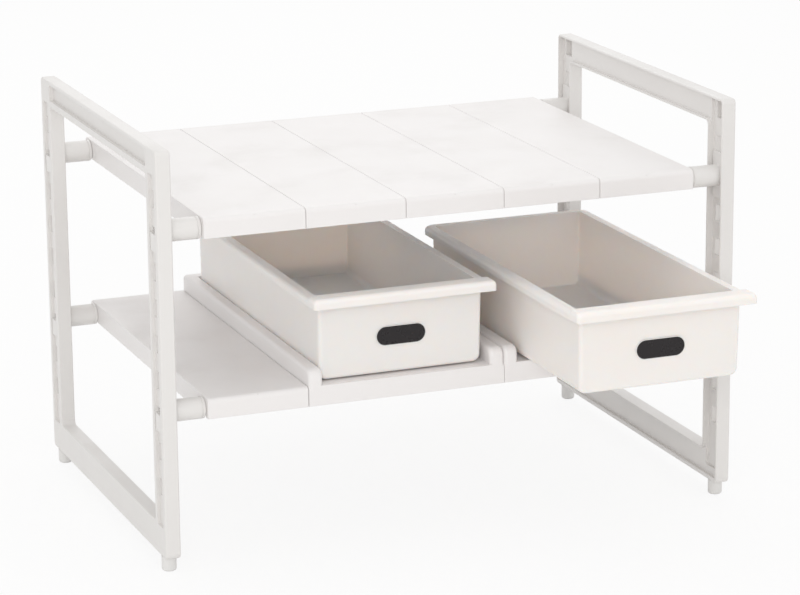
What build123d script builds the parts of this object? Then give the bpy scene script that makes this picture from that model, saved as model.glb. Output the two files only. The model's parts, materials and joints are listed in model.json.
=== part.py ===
from build123d import *
from math import atan2, degrees
import os

os.makedirs("parts", exist_ok=True)

# Under sink organizer: two end frames, two tiers of telescoping poles, loose shelf panels,
# two drawer trays and two drawers. All lengths in millimetres, +Z up, X across the rack,
# Y from front to back. Z is 0 on the floor. X and Y are 0 at the middle of the footprint
# of the whole thing, with the right drawer pulled out as it stands.

# Rack as a whole
rack_width = 602.0
rack_depth = 394.0
frame_height = 400.0

# End frames: posts and rails round a window
frame_thickness = 15.0
post_width = 32.0
top_rail_height = 27.0
bottom_rail_height = 31.0
frame_corner_radius = 5.0
window_corner_radius = 5.0
frame_edge_radius = 1.8
window_edge_radius = 1.0

# Inner side of the frames, hollowed out inside thin borders, deeper in the posts
border_width = 2.4
base_border_height = 5.0
rail_recess_depth = 3.5
post_recess_depth = 6.5
post_recess_bottom_margin = 13.0
recess_corner_radius = 2.0

# Outer side of the frames: a groove in each post and a pocket in the top rail
groove_width = 17.5
groove_depth = 3.0
groove_top_margin = 24.0
groove_bottom_margin = 30.0
pocket_depth = 4.5
pocket_top_margin = 3.5
pocket_height = 16.5

# Column of slots in each post, counted from the top
slot_width = 15.0
slot_height = 17.5
slot_pitch = 35.3
slot_top_margin = 5.0
upper_tier_slot_index = 2
lower_tier_slot_index = 7

# Feet, pressed into the underside of the frames
foot_radius = 7.2
foot_drop = 15.0
foot_edge_radius = 2.5
foot_spigot_radius = 3.0
foot_spigot_length = 9.0
foot_socket_clearance = 0.1

# Pole joints, the sleeves that hook into the slots
joint_plate_thickness = 2.0
joint_plate_clearance = 1.2
joint_plate_rise = 23.0
joint_plate_drop = 24.5
joint_plate_edge_radius = 0.8
joint_corner_radius = 2.0
joint_barrel_radius = 10.8
joint_barrel_length = 35.0
joint_barrel_edge_radius = 0.8
joint_bore_depth = 26.0
joint_bore_clearance = 0.05
joint_bead_width = 3.0
joint_bead_groove = 0.8
joint_bead_depth = 0.5
hook_width = 14.2
hook_neck_height = 12.0
hook_lip_drop = 5.0
hook_lip_thickness = 2.4
hook_lip_clearance = 0.1
pole_rise_over_slot_middle = 5.0

# Telescoping poles
outer_pole_radius = 7.5
pole_wall = 0.9
pole_slide_clearance = 0.08
pole_length = 400.0

# Shelf panels, hung over the front and rear poles
panel_count = 5
panel_gap = 0.4
panel_inset = 0.5
panel_wall = 2.2
panel_skirt_height = 19.8
panel_edge_radius = 5.0
panel_side_edge_radius = 1.0
pole_saddle_clearance = 0.3
pole_saddle_depth = 1.8
panel_rib_thickness = 1.8
panel_rib_height = 8.0
panel_long_rib_count = 1
panel_cross_rib_count = 4

# Drawer trays, each two panels wide
panels_per_tray_count = 2
tray_rail_width = 14.5
tray_rail_height = 16.5
tray_rail_edge_radius = 4.0
tray_rail_nose_radius = 9.0
tray_long_rib_count = 3
tray_runner_width = 6.0
tray_runner_height = 1.2
tray_runner_inset = 30.0
tray_runner_set_back = 12.0

# Drawers, each standing inside the raised edge of its tray
drawer_set_back = 10.0
drawer_rear_clearance = 1.0
drawer_side_clearance = 3.2
drawer_side_draft = 1.0
drawer_front_slant = 2.0
drawer_rear_slant = 1.0
drawer_height = 82.0
drawer_wall = 2.2
drawer_keel_radius = 8.0
drawer_corner_radius = 4.0
drawer_float = 0.3
drawer_side_shift = 2.8
right_drawer_pulled_out = 142.0
rim_overhang = 8.5
rim_height = 8.0
rim_wall = 1.8
rim_edge_radius = 4.0
handle_reach = 16.0
handle_overhang = 9.5
handle_height = 10.3
handle_rise = 3.5
handle_wall = 2.2
handle_corner_radius = 3.5
handle_top_radius = 5.0

# Blank label plates on the drawer fronts
label_width = 52.0
label_height = 20.0
label_thickness = 0.8
label_corner_share = 0.49

cut_overrun = 5.0

# Counts and places that follow from the sizes above
slot_column_height = frame_height - slot_top_margin - groove_bottom_margin
slot_count = int(slot_column_height / slot_pitch)
pole_inset = post_width / 2
handle_front_from_rack_front = handle_reach - drawer_set_back + right_drawer_pulled_out
rack_front = (handle_front_from_rack_front - rack_depth) / 2
rack_rear = rack_front + rack_depth
left_face = -rack_width / 2
front_pole_y = rack_front + pole_inset
rear_pole_y = rack_rear - pole_inset
frame_bottom = foot_drop
frame_top = frame_bottom + frame_height
web_inner_face = frame_thickness - post_recess_depth
joint_plate_face = web_inner_face + joint_plate_thickness
barrel_end = joint_plate_face + joint_barrel_length
shelf_start = left_face + barrel_end
shelf_width = rack_width - 2 * barrel_end
panel_pitch = shelf_width / panel_count
panel_depth = rack_depth - 2 * panel_inset
inner_pole_radius = outer_pole_radius - pole_wall - pole_slide_clearance
panel_top_over_pole = outer_pole_radius + pole_saddle_clearance + pole_saddle_depth + panel_wall


def slot_middle(index):
    first = frame_top - slot_top_margin - slot_height / 2
    return first - index * slot_pitch


upper_pole_z = slot_middle(upper_tier_slot_index) + pole_rise_over_slot_middle
lower_pole_z = slot_middle(lower_tier_slot_index) + pole_rise_over_slot_middle
tray_floor_z = lower_pole_z + panel_top_over_pole
tray_width = panels_per_tray_count * panel_pitch - panel_gap
drawer_bottom_z = tray_floor_z + tray_runner_height + drawer_float
drawer_rim_z = drawer_bottom_z + drawer_height
drawer_bottom_width = tray_width - 2 * tray_rail_width - 2 * drawer_side_clearance
drawer_top_width = drawer_bottom_width + 2 * drawer_side_draft
drawer_front_y = rack_front + drawer_set_back
drawer_rear_y = rack_rear - panel_inset - tray_rail_width - drawer_rear_clearance


def block(x_low, x_high, y_low, y_high, z_low, z_high):
    size = (x_high - x_low, y_high - y_low, z_high - z_low)
    middle = ((x_low + x_high) / 2, (y_low + y_high) / 2, (z_low + z_high) / 2)
    return Pos(*middle) * Box(*size)


def rod(axis, radius, low, high, first, second):
    """A round bar along axis X or Z, from low to high, at the other two coordinates."""
    bar = Cylinder(radius, high - low)
    middle = (low + high) / 2
    if axis == "X":
        return Pos(middle, first, second) * Rot(0, 90, 0) * bar
    return Pos(first, second, middle) * bar


def edges_along(shape, axis):
    return shape.edges().filter_by(axis)


def mirrored(shape):
    return mirror(shape, about=Plane.YZ)


# End frame, made at the left end of the rack


def frame_block(x_low, x_high, y_margin, bottom_margin, top_margin):
    """A block that stays clear of the frame's outline by the given margins."""
    return block(
        left_face + x_low,
        left_face + x_high,
        rack_front + y_margin,
        rack_rear - y_margin,
        frame_bottom + bottom_margin,
        frame_top - top_margin,
    )


def frame_ring():
    """The two posts and two rails as one plain ring with softly rounded edges."""
    plate = frame_block(0, frame_thickness, 0, 0, 0)
    plate = fillet(edges_along(plate, Axis.X), frame_corner_radius)
    plate = fillet(plate.faces().filter_by(Axis.X).edges(), frame_edge_radius)
    window = frame_block(
        -cut_overrun,
        frame_thickness + cut_overrun,
        post_width,
        bottom_rail_height,
        top_rail_height,
    )
    ring = plate - fillet(edges_along(window, Axis.X), window_corner_radius)
    window_edges = []
    for face in ring.faces().filter_by(Axis.X):
        for wire in face.inner_wires():
            window_edges += wire.edges()
    return fillet(window_edges, window_edge_radius)


def ring_recess():
    """The shallow hollow of the inner side, all the way round between two thin borders."""
    floor = frame_thickness - rail_recess_depth
    top = frame_thickness + cut_overrun
    outer = frame_block(floor, top, border_width, base_border_height, border_width)
    outer = fillet(edges_along(outer, Axis.X), recess_corner_radius)
    inner = frame_block(
        floor,
        top,
        post_width - border_width,
        bottom_rail_height - border_width,
        top_rail_height - border_width,
    )
    return outer - fillet(edges_along(inner, Axis.X), window_corner_radius + border_width)


def post_block(x_low, x_high, y_middle, width, z_low, z_high):
    """A block along one post, as wide as given, from z_low to z_high."""
    return block(
        left_face + x_low,
        left_face + x_high,
        y_middle - width / 2,
        y_middle + width / 2,
        z_low,
        z_high,
    )


def post_cuts(y_middle):
    """The deeper hollow and the outer groove of one post, and its column of slots."""
    hollow = post_block(
        web_inner_face,
        frame_thickness + cut_overrun,
        y_middle,
        post_width - 2 * border_width,
        frame_bottom + post_recess_bottom_margin,
        frame_top - border_width,
    )
    groove = post_block(
        -cut_overrun,
        groove_depth,
        y_middle,
        groove_width,
        frame_bottom + groove_bottom_margin,
        frame_top - groove_top_margin,
    )
    cuts = [fillet(edges_along(cut, Axis.X), recess_corner_radius) for cut in (hollow, groove)]
    half = slot_height / 2
    for index in range(slot_count):
        middle = slot_middle(index)
        cuts.append(
            post_block(
                groove_depth,
                frame_thickness,
                y_middle,
                slot_width,
                middle - half,
                middle + half,
            )
        )
    return cuts


def top_rail_pocket():
    """The hollow in the outer side of the top rail, between the posts."""
    bottom = frame_height - pocket_top_margin - pocket_height
    pocket = frame_block(-cut_overrun, pocket_depth, post_width, bottom, pocket_top_margin)
    return fillet(edges_along(pocket, Axis.X), recess_corner_radius)


def foot_socket(y_middle):
    return rod(
        "Z",
        foot_spigot_radius + foot_socket_clearance,
        frame_bottom - cut_overrun,
        frame_bottom + foot_spigot_length + foot_socket_clearance,
        left_face + frame_thickness / 2,
        y_middle,
    )


def end_frame():
    cuts = [ring_recess(), top_rail_pocket()]
    for y_middle in (front_pole_y, rear_pole_y):
        cuts += post_cuts(y_middle)
        cuts.append(foot_socket(y_middle))
    return frame_ring() - cuts


def foot(y_middle):
    x_middle = left_face + frame_thickness / 2
    peg = rod("Z", foot_radius, 0, foot_drop, x_middle, y_middle)
    rim = peg.faces().sort_by(Axis.Z)[0].edges()
    peg = fillet(rim, foot_edge_radius)
    top = foot_drop + foot_spigot_length
    return peg + rod("Z", foot_spigot_radius, foot_drop / 2, top, x_middle, y_middle)


# Pole joint, made at the left end of the rack


def joint_hook(y_middle, slot_bottom):
    """The hook that passes through the slot and drops behind the web."""
    neck_low = left_face + groove_depth - hook_lip_clearance
    lip_low = neck_low - hook_lip_thickness
    half = hook_width / 2
    neck_top = slot_bottom + hook_neck_height
    neck = block(
        neck_low, left_face + web_inner_face, y_middle - half, y_middle + half, slot_bottom, neck_top
    )
    lip = block(
        lip_low, neck_low, y_middle - half, y_middle + half, slot_bottom - hook_lip_drop, neck_top
    )
    return neck + lip


def pole_joint(y_middle, z_middle, pole_radius):
    """A plate in the post's hollow, its hook, and the barrel with the pole's bore."""
    end = left_face + barrel_end
    plate = post_block(
        web_inner_face,
        joint_plate_face,
        y_middle,
        post_width - 2 * border_width - 2 * joint_plate_clearance,
        z_middle - joint_plate_drop,
        z_middle + joint_plate_rise,
    )
    plate = fillet(edges_along(plate, Axis.X), joint_corner_radius)
    plate = fillet(plate.faces().sort_by(Axis.X)[-1].edges(), joint_plate_edge_radius)
    barrel = rod("X", joint_barrel_radius, left_face + web_inner_face, end, y_middle, z_middle)
    mouth = barrel.faces().sort_by(Axis.X)[-1].edges()
    barrel = fillet(mouth, joint_barrel_edge_radius)
    groove_end = end - joint_bead_width
    groove_start = groove_end - joint_bead_groove
    groove = rod("X", joint_barrel_radius + cut_overrun, groove_start, groove_end, y_middle, z_middle)
    groove -= rod("X", joint_barrel_radius - joint_bead_depth, groove_start, groove_end, y_middle, z_middle)
    bore = rod(
        "X",
        pole_radius + joint_bore_clearance,
        end - joint_bore_depth,
        end + cut_overrun,
        y_middle,
        z_middle,
    )
    slot_bottom = z_middle - pole_rise_over_slot_middle - slot_height / 2
    return plate + barrel + joint_hook(y_middle, slot_bottom) - groove - bore


def pole(radius, x_start, y_middle, z_middle):
    tube = rod("X", radius, x_start, x_start + pole_length, y_middle, z_middle)
    return tube - rod(
        "X",
        radius - pole_wall,
        x_start - cut_overrun,
        x_start + pole_length + cut_overrun,
        y_middle,
        z_middle,
    )


# Shelf panels and trays hang on the poles in the same way


def pole_saddle(x_low, x_high, y_middle, z_middle):
    """What a panel's end walls and ribs leave open so that it drops over a pole."""
    radius = outer_pole_radius + pole_saddle_clearance
    arch = rod("X", radius, x_low, x_high, y_middle, z_middle)
    slot = block(
        x_low,
        x_high,
        y_middle - radius,
        y_middle + radius,
        z_middle - panel_skirt_height,
        z_middle,
    )
    return arch + slot


def deck_shell(x_low, x_high, pole_z):
    """An upside-down pan with a rounded front and rear edge, open below."""
    top = pole_z + panel_top_over_pole
    bottom = top - panel_skirt_height
    y_low = rack_front + panel_inset
    y_high = y_low + panel_depth
    outer = block(x_low, x_high, y_low, y_high, bottom, top)
    long_edges = edges_along(outer, Axis.X).group_by(Axis.Z)[-1]
    outer = fillet(long_edges, panel_edge_radius)
    inner = block(
        x_low + panel_wall,
        x_high - panel_wall,
        y_low + panel_wall,
        y_high - panel_wall,
        bottom - cut_overrun,
        top - panel_wall,
    )
    inner_edges = edges_along(inner, Axis.X).group_by(Axis.Z)[-1]
    inner = fillet(inner_edges, panel_edge_radius - panel_wall)
    return outer, inner


def deck_ribs(x_low, x_high, pole_z, lengthways_count):
    """Ribs under the deck: lengthways_count of them from front to rear, and cross ribs."""
    top = pole_z + panel_top_over_pole - panel_wall / 2
    bottom = top - panel_rib_height
    y_low = rack_front + panel_inset + panel_wall / 2
    y_high = rack_rear - panel_inset - panel_wall / 2
    half = panel_rib_thickness / 2
    ribs = []
    for index in range(lengthways_count):
        x_middle = x_low + (x_high - x_low) * (index + 1) / (lengthways_count + 1)
        ribs.append(block(x_middle - half, x_middle + half, y_low, y_high, bottom, top))
    for index in range(panel_cross_rib_count):
        y_middle = y_low + (y_high - y_low) * (index + 1) / (panel_cross_rib_count + 1)
        ribs.append(
            block(
                x_low + panel_wall / 2,
                x_high - panel_wall / 2,
                y_middle - half,
                y_middle + half,
                bottom,
                top,
            )
        )
    return ribs


def both_saddles(x_low, x_high, pole_z):
    low = x_low - cut_overrun
    high = x_high + cut_overrun
    return [pole_saddle(low, high, y_middle, pole_z) for y_middle in (front_pole_y, rear_pole_y)]


def shelf_panel(index, pole_z):
    x_low = shelf_start + index * panel_pitch + panel_gap / 2
    x_high = x_low + panel_pitch - panel_gap
    outer, inner = deck_shell(x_low, x_high, pole_z)
    upper_ends = outer.edges().filter_by(Axis.Y).group_by(Axis.Z)[-1]
    outer = fillet(upper_ends, panel_side_edge_radius)
    ribs = deck_ribs(x_low, x_high, pole_z, panel_long_rib_count)
    return outer - inner + ribs - both_saddles(x_low, x_high, pole_z)


def tray_rails(x_low, x_high):
    """The raised edge round the tray's left, rear and right sides."""
    top = tray_floor_z + tray_rail_height
    bottom = tray_floor_z - panel_edge_radius
    y_low = rack_front + panel_inset
    y_high = rack_rear - panel_inset
    outer = block(x_low, x_high, y_low, y_high, bottom, top)
    crosswise = edges_along(outer, Axis.X).group_by(Axis.Z)[-1].sort_by(Axis.Y)
    outer = fillet(crosswise[0], tray_rail_nose_radius)
    crosswise = edges_along(outer, Axis.X).group_by(Axis.Z)[-1].sort_by(Axis.Y)
    outer = fillet(crosswise[-1], tray_rail_edge_radius)
    bay = block(
        x_low + tray_rail_width,
        x_high - tray_rail_width,
        y_low - cut_overrun,
        y_high - tray_rail_width,
        tray_floor_z,
        top + cut_overrun,
    )
    rails = outer - bay
    lengthways = edges_along(rails, Axis.Y).group_by(Axis.Z)[-1]
    return fillet(lengthways, tray_rail_edge_radius)


def rail_hollows(x_low, x_high):
    """The space inside the raised edge, so that it is a moulded wall and not a solid bar."""
    top = tray_floor_z + tray_rail_height - panel_wall
    bottom = tray_floor_z - panel_edge_radius - cut_overrun
    y_low = rack_front + panel_inset + panel_wall
    y_high = rack_rear - panel_inset - panel_wall
    inner_width = tray_rail_width - panel_wall
    left = block(x_low + panel_wall, x_low + inner_width, y_low, y_high, bottom, top)
    right = block(x_high - inner_width, x_high - panel_wall, y_low, y_high, bottom, top)
    hollows = []
    for hollow in (left, right):
        nose = edges_along(hollow, Axis.X).group_by(Axis.Z)[-1].sort_by(Axis.Y)[0]
        hollows.append(fillet(nose, tray_rail_nose_radius - panel_wall))
    rear_low = y_high - inner_width + panel_wall
    hollows.append(block(x_low + panel_wall, x_high - panel_wall, rear_low, y_high, bottom, top))
    return hollows


def tray_runners(x_low, x_high):
    runners = []
    y_low = drawer_front_y + tray_runner_set_back
    y_high = rack_rear - panel_inset - tray_rail_width
    for x_middle in (x_low + tray_runner_inset, x_high - tray_runner_inset):
        runners.append(
            block(
                x_middle - tray_runner_width / 2,
                x_middle + tray_runner_width / 2,
                y_low,
                y_high,
                tray_floor_z - panel_wall / 2,
                tray_floor_z + tray_runner_height,
            )
        )
    return runners


def tray_span(first_panel):
    x_low = shelf_start + first_panel * panel_pitch + panel_gap / 2
    return x_low, x_low + tray_width


def drawer_tray(first_panel):
    x_low, x_high = tray_span(first_panel)
    outer, inner = deck_shell(x_low, x_high, lower_pole_z)
    tray = outer - inner + tray_rails(x_low, x_high)
    tray = tray - inner - rail_hollows(x_low, x_high)
    tray = tray + deck_ribs(x_low, x_high, lower_pole_z, tray_long_rib_count)
    tray = tray - both_saddles(x_low, x_high, lower_pole_z)
    return tray + tray_runners(x_low, x_high)


# Drawer, made at its closed place


def tub_block(x_middle, inset, overrun):
    """The drawer's tub as a closed block, drawn in by inset on every side but the top."""
    low = drawer_bottom_z + inset
    high = drawer_rim_z + overrun
    low_share = inset / drawer_height
    high_share = 1 + overrun / drawer_height

    def half_width(share):
        return drawer_bottom_width / 2 + drawer_side_draft * share - inset

    def front(share):
        return drawer_front_y + drawer_front_slant * (1 - share) + inset

    def rear(share):
        return drawer_rear_y - drawer_rear_slant * (1 - share) - inset

    from_front = Polygon(
        (-half_width(low_share), low),
        (half_width(low_share), low),
        (half_width(high_share), high),
        (-half_width(high_share), high),
        align=None,
    )
    from_front = fillet(from_front.vertices().group_by(Axis.Y)[0], drawer_keel_radius - inset)
    from_side = Polygon(
        (front(low_share), low),
        (rear(low_share), low),
        (rear(high_share), high),
        (front(high_share), high),
        align=None,
    )
    tub = Pos(x_middle, 0, 0) * (
        extrude(Plane.XZ * from_front, rack_depth, both=True)
        & extrude(Plane.YZ * from_side, rack_width, both=True)
    )
    ends = tub.faces().sort_by(Axis.Y)
    end_edges = []
    for face in (ends[0], ends[-1]):
        for level in face.edges().group_by(Axis.Z)[:-1]:
            end_edges += level
    return fillet(end_edges, drawer_corner_radius - inset)


def drawer_rim(x_middle):
    """The folded rim along both sides and the rear."""
    y_rear = drawer_rear_y + rim_overhang
    half = drawer_top_width / 2 + rim_overhang
    low = drawer_rim_z - rim_height
    rim = block(x_middle - half, x_middle + half, drawer_front_y, y_rear, low, drawer_rim_z)
    under = block(
        x_middle - half + rim_wall,
        x_middle + half - rim_wall,
        drawer_front_y - cut_overrun,
        y_rear - rim_wall,
        low - cut_overrun,
        drawer_rim_z - rim_wall,
    )
    return rounded_rim(rim, 0) - rounded_rim(under, rim_wall)


def rounded_rim(shape, inset):
    """Round a rim block's rear corners and its upper edges but the front one."""
    rear_corners = edges_along(shape, Axis.Z).group_by(Axis.Y)[-1]
    shape = fillet(rear_corners, drawer_corner_radius + rim_overhang - inset)
    upper = shape.faces().sort_by(Axis.Z)[-1].edges().group_by(Axis.Y)[1:]
    return fillet([edge for group in upper for edge in group], rim_edge_radius - inset)


def drawer_handle(x_middle):
    """The long lip across the front, hollow below so that fingers reach behind it."""
    y_front = drawer_front_y - handle_reach
    y_rear = drawer_front_y + drawer_wall
    half = drawer_top_width / 2 + handle_overhang
    top = drawer_rim_z + handle_rise
    bottom = top - handle_height
    lip = block(x_middle - half, x_middle + half, y_front, y_rear, bottom, top)
    under = block(
        x_middle - half + handle_wall,
        x_middle + half - handle_wall,
        y_front + handle_wall,
        drawer_front_y,
        bottom - cut_overrun,
        top - handle_wall,
    )
    return rounded_lip(lip, 0) - rounded_lip(under, handle_wall)


def rounded_lip(shape, inset):
    """Round a lip block's front corners and its upper edges but the rear one."""
    uprights = edges_along(shape, Axis.Z).group_by(Axis.Y)[0]
    shape = fillet(uprights, handle_corner_radius - inset)
    upper = shape.faces().sort_by(Axis.Z)[-1].edges().group_by(Axis.Y)[:-1]
    return fillet([edge for group in upper for edge in group], handle_top_radius - inset)


def drawer(x_middle, pulled_out):
    shell = tub_block(x_middle, 0, 0) + drawer_rim(x_middle) + drawer_handle(x_middle)
    shell -= tub_block(x_middle, drawer_wall, handle_rise + cut_overrun)
    return Pos(0, -pulled_out, 0) * shell


def label(x_middle, pulled_out):
    """A blank plate that lies against the slanted front of a drawer."""
    z_over_bottom = (drawer_height + handle_rise - handle_height) / 2
    slant_here = drawer_front_slant * (1 - z_over_bottom / drawer_height)
    tilt = degrees(atan2(drawer_front_slant, drawer_height))
    outline = RectangleRounded(label_width, label_height, label_height * label_corner_share)
    plate = extrude(outline, label_thickness)
    place = Pos(x_middle, drawer_front_y + slant_here - pulled_out, drawer_bottom_z + z_over_bottom)
    return place * Rot(90 + tilt, 0, 0) * plate


def write(name, shape):
    export_step(shape, "parts/" + name + ".step")


def write_both_ends(name, shape):
    write(name + "_left", shape)
    write(name + "_right", mirrored(shape))


def write_frames():
    write_both_ends("end_frame", end_frame())
    for place, y_middle in (("front", front_pole_y), ("rear", rear_pole_y)):
        write_both_ends("foot_" + place, foot(y_middle))


def write_poles():
    tiers = (("upper", upper_pole_z), ("lower", lower_pole_z))
    rows = (("front", front_pole_y), ("rear", rear_pole_y))
    outer_start = left_face + barrel_end - joint_bore_depth
    inner_start = -outer_start - pole_length
    for tier, z_middle in tiers:
        for row, y_middle in rows:
            place = tier + "_" + row
            left = pole_joint(y_middle, z_middle, outer_pole_radius)
            right = mirrored(pole_joint(y_middle, z_middle, inner_pole_radius))
            write("pole_joint_" + place + "_left", left)
            write("pole_joint_" + place + "_right", right)
            write("outer_pole_" + place, pole(outer_pole_radius, outer_start, y_middle, z_middle))
            write("inner_pole_" + place, pole(inner_pole_radius, inner_start, y_middle, z_middle))


def write_shelves():
    for index in range(panel_count):
        write("shelf_panel_" + str(index + 1), shelf_panel(index, upper_pole_z))
    write("lower_panel", shelf_panel(0, lower_pole_z))


def write_drawers():
    sides = (
        ("left", 1, -drawer_side_shift, 0),
        ("right", 1 + panels_per_tray_count, drawer_side_shift, right_drawer_pulled_out),
    )
    for side, first_panel, shift, pulled_out in sides:
        x_low, x_high = tray_span(first_panel)
        x_middle = (x_low + x_high) / 2 + shift
        write("drawer_tray_" + side, drawer_tray(first_panel))
        write("drawer_" + side, drawer(x_middle, pulled_out))
        write("label_" + side, label(x_middle, pulled_out))


write_frames()
write_poles()
write_shelves()
write_drawers()
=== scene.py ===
import json
import math

import bpy
from mathutils import Matrix, Vector


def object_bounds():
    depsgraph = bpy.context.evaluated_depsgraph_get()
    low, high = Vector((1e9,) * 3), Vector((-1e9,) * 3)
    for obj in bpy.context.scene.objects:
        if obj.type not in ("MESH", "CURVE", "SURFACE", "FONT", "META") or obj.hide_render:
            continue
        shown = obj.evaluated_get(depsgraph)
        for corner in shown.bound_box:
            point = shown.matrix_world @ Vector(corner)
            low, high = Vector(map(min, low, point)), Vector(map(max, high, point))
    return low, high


# Looks of the under sink organizer: white satin mouldings on a stretching two-tier rack.
# All lengths are in metres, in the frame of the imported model.

MM = 0.001

# Picture
PICTURE_WIDTH = 800
SENSOR_WIDTH = 36.0
FOCAL_PIXELS = 3182.6
CAMERA_AZIMUTH = math.radians(-21.55)
CAMERA_ELEVATION = math.radians(15.24)
CAMERA_ROLL = math.radians(-0.48)
CAMERA_PLACE = (-1145.5 * MM, -2874.8 * MM, 1056.1 * MM)
CAMERA_NEAREST = 0.05
CAMERA_FARTHEST = 60.0

# Studio
STUDIO_WHITE = (1, 1, 1)
FLOOR_HALF = 14.0
FLOOR_COLOUR = (0.93, 0.925, 0.915)
FLOOR_ROUGHNESS = 0.9
FLOOR_SPECULAR = 0.1
FLOOR_WHITENING = 0.86
WORLD_STRENGTH = 0.8

# Softboxes: name, azimuth and elevation seen from the rack in degrees, distance, size, power in watts
SOFTBOXES = (
    ("camera_side_softbox", -26, 18, 3.5, 1.3, 22.0),
    ("overhead_softbox", 0, 88, 2.6, 2.2, 7.0),
    ("rear_softbox", 165, 35, 3.3, 1.8, 9.0),
)

# Colours of the finishes, each with the deeper tone of its clouds
WARM_WHITE = (0.795, 0.775, 0.755)
WARM_WHITE_DEEP = (0.775, 0.755, 0.735)
CREAM_WHITE = (0.92, 0.868, 0.838)
CREAM_WHITE_DEEP = (0.9, 0.843, 0.808)
PANEL_WHITE = (0.862, 0.838, 0.828)
PANEL_WHITE_DEEP = (0.842, 0.815, 0.80)
FOOT_WHITE = (0.80, 0.79, 0.775)
FOOT_WHITE_DEEP = (0.72, 0.705, 0.68)
PAINT_WHITE = (0.82, 0.81, 0.80)
PAINT_WHITE_DEEP = (0.76, 0.745, 0.73)
RUBBED_WHITE = (0.86, 0.84, 0.82)
DUST_COLOUR = (0.66, 0.63, 0.59)

# Noises over the surfaces: features per metre, detail, roughness
GRAIN_NOISE = (900.0, 2.0, 0.6)
WAVE_NOISE = (11.0, 1.0, 0.5)
CLOUD_NOISE = (9.0, 3.0, 0.55)
BROKEN_NOISE = (60.0, 3.0, 0.5)
MARK_NOISE = (26.0, 4.0, 0.6)
SMUDGE_NOISE = (260.0, 2.0, 0.5)
DUST_NOISE = (14.0, 5.0, 0.65)

# Ramps: where a mask starts and where it is full
CLOUD_RAMP = (0.35, 0.75)
EDGE_RAMP = (0.01, 0.16)
BROKEN_RAMP = (0.3, 0.7)
MARK_RAMP = (0.4, 0.7)
FACING_UP_RAMP = (0.7, 1.0)
DUST_RAMP = (0.45, 0.8)

# Plastic
PLASTIC_IOR = 1.49
GRAIN_DEPTH = 0.012 * MM
WAVE_SHARE = 3.0
CLOUD_AMOUNT = 0.5
EDGE_REACH = 0.9 * MM
EDGE_SAMPLES = 6
SOFT_EDGE_REACH = EDGE_REACH / 2
RUBBED_AMOUNT = 0.6
RUBBED_POLISH = 0.08
MARK_POLISH = 0.16
DUST_AMOUNT = 0.12
DUST_DULLING = 0.2

# How far light runs under the skin of the thin-walled drawers, and its shares for red, green and blue
DRAWER_SKIN_DEPTH = 3.5 * MM
DRAWER_SKIN_SHARES = (1.0, 0.82, 0.7)

# Badge
BADGE_WIDTH = 52.0 * MM
BADGE_HEIGHT = 20.0 * MM
BADGE_LINE = 0.7 * MM
BADGE_LINE_BLUR = 0.1 * MM
BADGE_DARK = (0.012, 0.009, 0.010)
BADGE_PALE = (0.80, 0.78, 0.76)
BADGE_IOR = 1.4
BADGE_ROUGHNESS = 0.24
BADGE_MARK_DULLING = 0.18
BADGE_MARKS_PER_METRE = 70.0

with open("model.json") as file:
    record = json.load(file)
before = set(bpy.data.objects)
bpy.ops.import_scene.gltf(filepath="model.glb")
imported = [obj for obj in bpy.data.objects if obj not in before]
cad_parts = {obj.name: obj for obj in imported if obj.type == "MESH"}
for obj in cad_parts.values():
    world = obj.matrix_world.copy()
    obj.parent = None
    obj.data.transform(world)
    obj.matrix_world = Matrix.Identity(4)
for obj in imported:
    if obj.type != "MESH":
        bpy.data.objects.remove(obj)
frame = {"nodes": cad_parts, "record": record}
cad_low, cad_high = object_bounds()


def feed(tree, source, target):
    """Gives a node's input a number, a colour or the output of another node."""
    if isinstance(source, bpy.types.NodeSocket):
        tree.links.new(source, target)
    elif isinstance(source, tuple):
        target.default_value = (*source, 1.0)
    else:
        target.default_value = source


def new_group(name, inputs, output):
    """An empty shader node group with inputs (name, kind, default) and one output (name, kind).

    Gives the group, what its inputs bring in, and where its result goes.
    """
    group = bpy.data.node_groups.new(name, "ShaderNodeTree")
    for label, kind, default in inputs:
        socket = group.interface.new_socket(label, in_out="INPUT", socket_type=kind)
        socket.default_value = default
    label, kind = output
    group.interface.new_socket(label, in_out="OUTPUT", socket_type=kind)
    start = group.nodes.new("NodeGroupInput")
    end = group.nodes.new("NodeGroupOutput")
    return group, start.outputs, end.inputs[label]


def place_group(tree, group, **values):
    """The result of a shared effect in a material, with values for its inputs."""
    node = tree.nodes.new("ShaderNodeGroup")
    node.node_tree = group
    for name, value in values.items():
        feed(tree, value, node.inputs[name.replace("_", " ").title()])
    return node.outputs[0]


def math_node(tree, operation, *values, clamp=False):
    """One math step on sockets or numbers."""
    node = tree.nodes.new("ShaderNodeMath")
    node.operation = operation
    node.use_clamp = clamp
    for value, target in zip(values, node.inputs):
        feed(tree, value, target)
    return node.outputs[0]


def noise(tree, kind, per_metre=None):
    """One of the noises listed above, over the whole piece; per_metre replaces its own scale."""
    scale, detail, roughness = kind
    node = tree.nodes.new("ShaderNodeTexNoise")
    feed(tree, tree.nodes.new("ShaderNodeTexCoord").outputs["Object"], node.inputs["Vector"])
    feed(tree, scale if per_metre is None else per_metre, node.inputs["Scale"])
    feed(tree, detail, node.inputs["Detail"])
    feed(tree, roughness, node.inputs["Roughness"])
    return node.outputs["Fac"]


def ramp_between(tree, value, low, high):
    """0 below low and 1 above high, smooth between."""
    node = tree.nodes.new("ShaderNodeMapRange")
    node.interpolation_type = "SMOOTHSTEP"
    feed(tree, low, node.inputs["From Min"])
    feed(tree, high, node.inputs["From Max"])
    feed(tree, value, node.inputs["Value"])
    return node.outputs["Result"]


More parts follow.
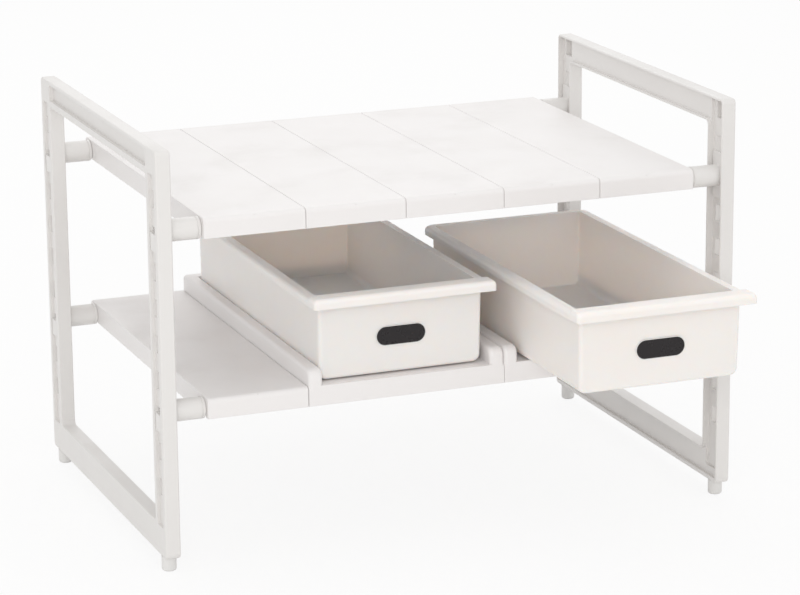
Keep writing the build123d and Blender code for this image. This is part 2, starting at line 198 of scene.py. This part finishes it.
def blend_colours(tree, factor, first, second):
    """The first colour where the factor is 0 and the second where it is 1."""
    node = tree.nodes.new("ShaderNodeMix")
    node.data_type = "RGBA"
    colour_inputs = [socket for socket in node.inputs if socket.type == "RGBA"]
    feed(tree, factor, node.inputs["Factor"])
    feed(tree, first, colour_inputs[0])
    feed(tree, second, colour_inputs[1])
    return [socket for socket in node.outputs if socket.type == "RGBA"][0]


def rounded_normal(tree, reach):
    """The surface's normal with its edges rounded over that reach."""
    node = tree.nodes.new("ShaderNodeBevel")
    node.samples = EDGE_SAMPLES
    feed(tree, reach, node.inputs["Radius"])
    return node.outputs["Normal"]


def mould_grain_group():
    """The fine spark-eroded grain of a moulding and the slow waviness of its walls."""
    group, start, height = new_group(
        "mould_grain", [("Grain Per Metre", "NodeSocketFloat", GRAIN_NOISE[0])], ("Height", "NodeSocketFloat")
    )
    fine = noise(group, GRAIN_NOISE, start["Grain Per Metre"])
    slow = math_node(group, "MULTIPLY", noise(group, WAVE_NOISE), WAVE_SHARE)
    feed(group, math_node(group, "ADD", fine, slow), height)
    return group


def resin_colour_group():
    """The resin's colour with faint cloudy differences, as in a filled white plastic."""
    group, start, tone = new_group(
        "resin_colour",
        [
            ("Pale", "NodeSocketColor", (*WARM_WHITE, 1.0)),
            ("Deep", "NodeSocketColor", (*WARM_WHITE_DEEP, 1.0)),
        ],
        ("Color", "NodeSocketColor"),
    )
    clouds = ramp_between(group, noise(group, CLOUD_NOISE), *CLOUD_RAMP)
    factor = math_node(group, "MULTIPLY", clouds, CLOUD_AMOUNT)
    feed(group, blend_colours(group, factor, start["Pale"], start["Deep"]), tone)
    return group


def rubbed_edge_group():
    """A mask that is 1 along edges which hands and neighbours polish, broken up along their length."""
    group, _, mask = new_group("rubbed_edge", [], ("Mask", "NodeSocketFloat"))
    cosine = group.nodes.new("ShaderNodeVectorMath")
    cosine.operation = "DOT_PRODUCT"
    feed(group, rounded_normal(group, EDGE_REACH), cosine.inputs[0])
    feed(group, group.nodes.new("ShaderNodeNewGeometry").outputs["Normal"], cosine.inputs[1])
    bend = math_node(group, "SUBTRACT", 1.0, cosine.outputs["Value"])
    edge = ramp_between(group, bend, *EDGE_RAMP)
    broken = ramp_between(group, noise(group, BROKEN_NOISE), *BROKEN_RAMP)
    feed(group, math_node(group, "MULTIPLY", edge, broken, clamp=True), mask)
    return group


def handling_group():
    """Where fingers and cloths have left the satin a little glossier or duller."""
    group, start, mask = new_group(
        "handling_marks", [("Marks Per Metre", "NodeSocketFloat", MARK_NOISE[0])], ("Mask", "NodeSocketFloat")
    )
    broad = ramp_between(group, noise(group, MARK_NOISE, start["Marks Per Metre"]), *MARK_RAMP)
    feed(group, math_node(group, "MULTIPLY", broad, noise(group, SMUDGE_NOISE)), mask)
    return group


def settled_dust_group():
    """A thin veil of dust on what faces up, thicker in some places."""
    group, _, mask = new_group("settled_dust", [], ("Mask", "NodeSocketFloat"))
    parts = group.nodes.new("ShaderNodeSeparateXYZ")
    feed(group, group.nodes.new("ShaderNodeNewGeometry").outputs["Normal"], parts.inputs[0])
    facing_up = ramp_between(group, parts.outputs["Z"], *FACING_UP_RAMP)
    patches = ramp_between(group, noise(group, DUST_NOISE), *DUST_RAMP)
    feed(group, math_node(group, "MULTIPLY", facing_up, patches), mask)
    return group


GRAIN = mould_grain_group()
RESIN = resin_colour_group()
RUBBED = rubbed_edge_group()
HANDLED = handling_group()
DUST = settled_dust_group()


def new_material(name):
    """A material, its node tree and its Principled shader's inputs."""
    material = bpy.data.materials.new(name)
    material.use_nodes = True
    tree = material.node_tree
    return material, tree, tree.nodes["Principled BSDF"].inputs


def moulded_plastic(
    name,
    pale,
    deep,
    roughness,
    grain_per_metre=GRAIN_NOISE[0],
    grain_depth=GRAIN_DEPTH,
    skin_depth=0.0,
):
    """A white satin moulding: cloudy resin, polished edges, handling marks, dust and mould grain."""
    material, tree, shader = new_material(name)
    edge = place_group(tree, RUBBED)
    marks = place_group(tree, HANDLED)
    dust = place_group(tree, DUST)

    resin = place_group(tree, RESIN, pale=pale, deep=deep)
    rubbed = math_node(tree, "MULTIPLY", edge, RUBBED_AMOUNT)
    dusty = math_node(tree, "MULTIPLY", dust, DUST_AMOUNT)
    tone = blend_colours(tree, rubbed, resin, RUBBED_WHITE)
    feed(tree, blend_colours(tree, dusty, tone, DUST_COLOUR), shader["Base Color"])

    rough = math_node(tree, "MULTIPLY_ADD", marks, -MARK_POLISH, roughness)
    rough = math_node(tree, "SUBTRACT", rough, math_node(tree, "MULTIPLY", edge, RUBBED_POLISH))
    veil = math_node(tree, "MULTIPLY", dust, DUST_DULLING)
    feed(tree, math_node(tree, "ADD", rough, veil, clamp=True), shader["Roughness"])

    bump = tree.nodes.new("ShaderNodeBump")
    feed(tree, grain_depth, bump.inputs["Distance"])
    feed(tree, place_group(tree, GRAIN, grain_per_metre=grain_per_metre), bump.inputs["Height"])
    feed(tree, rounded_normal(tree, SOFT_EDGE_REACH), bump.inputs["Normal"])
    feed(tree, bump.outputs["Normal"], shader["Normal"])

    shader["IOR"].default_value = PLASTIC_IOR
    if skin_depth:
        shader["Subsurface Weight"].default_value = 1.0
        shader["Subsurface Radius"].default_value = DRAWER_SKIN_SHARES
        shader["Subsurface Scale"].default_value = skin_depth
    return material


def badge_print():
    """A dark plate with a thin pale line inside its rounded outline. Nothing is written on it."""
    material, tree, shader = new_material("badge_print")
    place = tree.nodes.new("ShaderNodeSeparateXYZ")
    feed(tree, tree.nodes.new("ShaderNodeTexCoord").outputs["Generated"], place.inputs[0])
    across = math_node(tree, "MULTIPLY_ADD", place.outputs["X"], BADGE_WIDTH, -BADGE_WIDTH / 2)
    across = math_node(tree, "ABSOLUTE", across)
    across = math_node(tree, "SUBTRACT", across, (BADGE_WIDTH - BADGE_HEIGHT) / 2)
    across = math_node(tree, "MAXIMUM", across, 0.0)
    along = math_node(tree, "MULTIPLY_ADD", place.outputs["Z"], BADGE_HEIGHT, -BADGE_HEIGHT / 2)
    across_squared = math_node(tree, "MULTIPLY", across, across)
    along_squared = math_node(tree, "MULTIPLY", along, along)
    distance = math_node(tree, "SQRT", math_node(tree, "ADD", across_squared, along_squared))
    line = BADGE_HEIGHT / 2 - BADGE_LINE
    pale = ramp_between(tree, distance, line - BADGE_LINE_BLUR, line + BADGE_LINE_BLUR)
    feed(tree, blend_colours(tree, pale, BADGE_DARK, BADGE_PALE), shader["Base Color"])

    marks = place_group(tree, HANDLED, marks_per_metre=BADGE_MARKS_PER_METRE)
    rough = math_node(tree, "MULTIPLY_ADD", marks, BADGE_MARK_DULLING, BADGE_ROUGHNESS)
    feed(tree, rough, shader["Roughness"])
    shader["IOR"].default_value = BADGE_IOR
    return material


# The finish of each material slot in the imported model
FINISHES = {
    "frame_plastic": moulded_plastic("frame_satin_white", WARM_WHITE, WARM_WHITE_DEEP, roughness=0.42),
    "joint_plastic": moulded_plastic("joint_satin_white", WARM_WHITE, WARM_WHITE_DEEP, roughness=0.38),
    "foot_plastic": moulded_plastic(
        "foot_soft_white", FOOT_WHITE, FOOT_WHITE_DEEP, roughness=0.55, grain_per_metre=1400.0
    ),
    "panel_plastic": moulded_plastic(
        "panel_fine_grain_white", PANEL_WHITE, PANEL_WHITE_DEEP, roughness=0.45
    ),
    "tray_plastic": moulded_plastic(
        "tray_fine_grain_white", PANEL_WHITE, PANEL_WHITE_DEEP, roughness=0.45
    ),
    "drawer_plastic": moulded_plastic(
        "drawer_cream_white", CREAM_WHITE, CREAM_WHITE_DEEP, roughness=0.4, skin_depth=DRAWER_SKIN_DEPTH
    ),
    "pole_paint": moulded_plastic(
        "pole_white_paint",
        PAINT_WHITE,
        PAINT_WHITE_DEEP,
        roughness=0.28,
        grain_per_metre=350.0,
        grain_depth=0.02 * MM,
    ),
    "label_face": badge_print(),
}


def dress_nodes():
    """Each CAD node gets the finish of its material slot."""
    for part in frame["record"]["subparts"]:
        materials = frame["nodes"][part["node"]].data.materials
        materials.clear()
        materials.append(FINISHES[part["material_slot"]])


def seen_directly(tree):
    """1 for what the camera, a reflection or a clear piece sees, and 0 for the light it casts."""
    rays = tree.nodes.new("ShaderNodeLightPath")
    seen = math_node(tree, "MAXIMUM", rays.outputs["Is Camera Ray"], rays.outputs["Is Glossy Ray"])
    return math_node(tree, "MAXIMUM", seen, rays.outputs["Is Transmission Ray"])


def mix_shaders(tree, factor, first, second, target):
    """Feeds the first shader where the factor is 0 and the second where it is 1."""
    node = tree.nodes.new("ShaderNodeMixShader")
    for source, place in zip((factor, first.outputs[0], second.outputs[0]), node.inputs):
        feed(tree, source, place)
    feed(tree, node.outputs[0], target)


def studio_floor():
    """A wide sheet of pale paper under the feet. It looks nearly white and keeps the shadow."""
    material, tree, shader = new_material("floor_paper")
    feed(tree, FLOOR_COLOUR, shader["Base Color"])
    shader["Roughness"].default_value = FLOOR_ROUGHNESS
    shader["Specular IOR Level"].default_value = FLOOR_SPECULAR
    whitening = math_node(tree, "MULTIPLY", seen_directly(tree), FLOOR_WHITENING)
    glow = tree.nodes.new("ShaderNodeEmission")
    surface = tree.nodes["Material Output"].inputs["Surface"]
    mix_shaders(tree, whitening, tree.nodes["Principled BSDF"], glow, surface)

    half = FLOOR_HALF
    corners = [(-half, -half, 0), (half, -half, 0), (half, half, 0), (-half, half, 0)]
    mesh = bpy.data.meshes.new("floor")
    mesh.from_pydata(corners, [], [(0, 1, 2, 3)])
    mesh.materials.append(material)
    floor = bpy.data.objects.new("floor", mesh)
    bpy.context.scene.collection.objects.link(floor)


def studio_world():
    """Even soft light from all around, in front of a plain white backdrop."""
    world = bpy.data.worlds.new("studio")
    bpy.context.scene.world = world
    world.use_nodes = True
    tree = world.node_tree
    light = tree.nodes["Background"]
    backdrop = tree.nodes.new("ShaderNodeBackground")
    feed(tree, STUDIO_WHITE, light.inputs["Color"])
    feed(tree, WORLD_STRENGTH, light.inputs["Strength"])
    feed(tree, STUDIO_WHITE, backdrop.inputs["Color"])
    mix_shaders(tree, seen_directly(tree), light, backdrop, tree.nodes["World Output"].inputs["Surface"])


def outward(azimuth, elevation):
    """The direction from the rack to what stands at that azimuth and elevation, both in radians."""
    level = math.cos(elevation)
    return Vector((math.sin(azimuth) * level, -math.cos(azimuth) * level, math.sin(elevation)))


def softbox(name, azimuth, elevation, distance, size, power):
    """A square soft light that faces the middle of the rack."""
    light = bpy.data.lights.new(name, "AREA")
    light.shape = "SQUARE"
    light.size = size
    light.energy = power
    made = bpy.data.objects.new(name, light)
    away = outward(math.radians(azimuth), math.radians(elevation))
    made.location = (cad_low + cad_high) / 2 + away * distance
    made.rotation_mode = "QUATERNION"
    made.rotation_quaternion = (-away).to_track_quat("-Z", "Y")
    made.visible_camera = False
    bpy.context.scene.collection.objects.link(made)


def photo_camera():
    """The camera of the picture, from its azimuth, elevation, roll and place."""
    back = outward(CAMERA_AZIMUTH, CAMERA_ELEVATION)
    right = (-back).cross(Vector((0, 0, 1))).normalized()
    up = back.cross(right)
    turned_right = math.cos(CAMERA_ROLL) * right + math.sin(CAMERA_ROLL) * up
    turned_up = back.cross(turned_right)
    data = bpy.data.cameras.new("camera")
    data.sensor_width = SENSOR_WIDTH
    data.lens = FOCAL_PIXELS * SENSOR_WIDTH / PICTURE_WIDTH
    data.clip_start = CAMERA_NEAREST
    data.clip_end = CAMERA_FARTHEST
    camera = bpy.data.objects.new("camera", data)
    axes = Matrix((turned_right, turned_up, back)).transposed()
    camera.matrix_world = Matrix.Translation(CAMERA_PLACE) @ axes.to_4x4()
    bpy.context.scene.collection.objects.link(camera)
    bpy.context.scene.camera = camera


dress_nodes()
studio_floor()
studio_world()
for row in SOFTBOXES:
    softbox(*row)
photo_camera()
bpy.context.scene.view_settings.view_transform = "Standard"
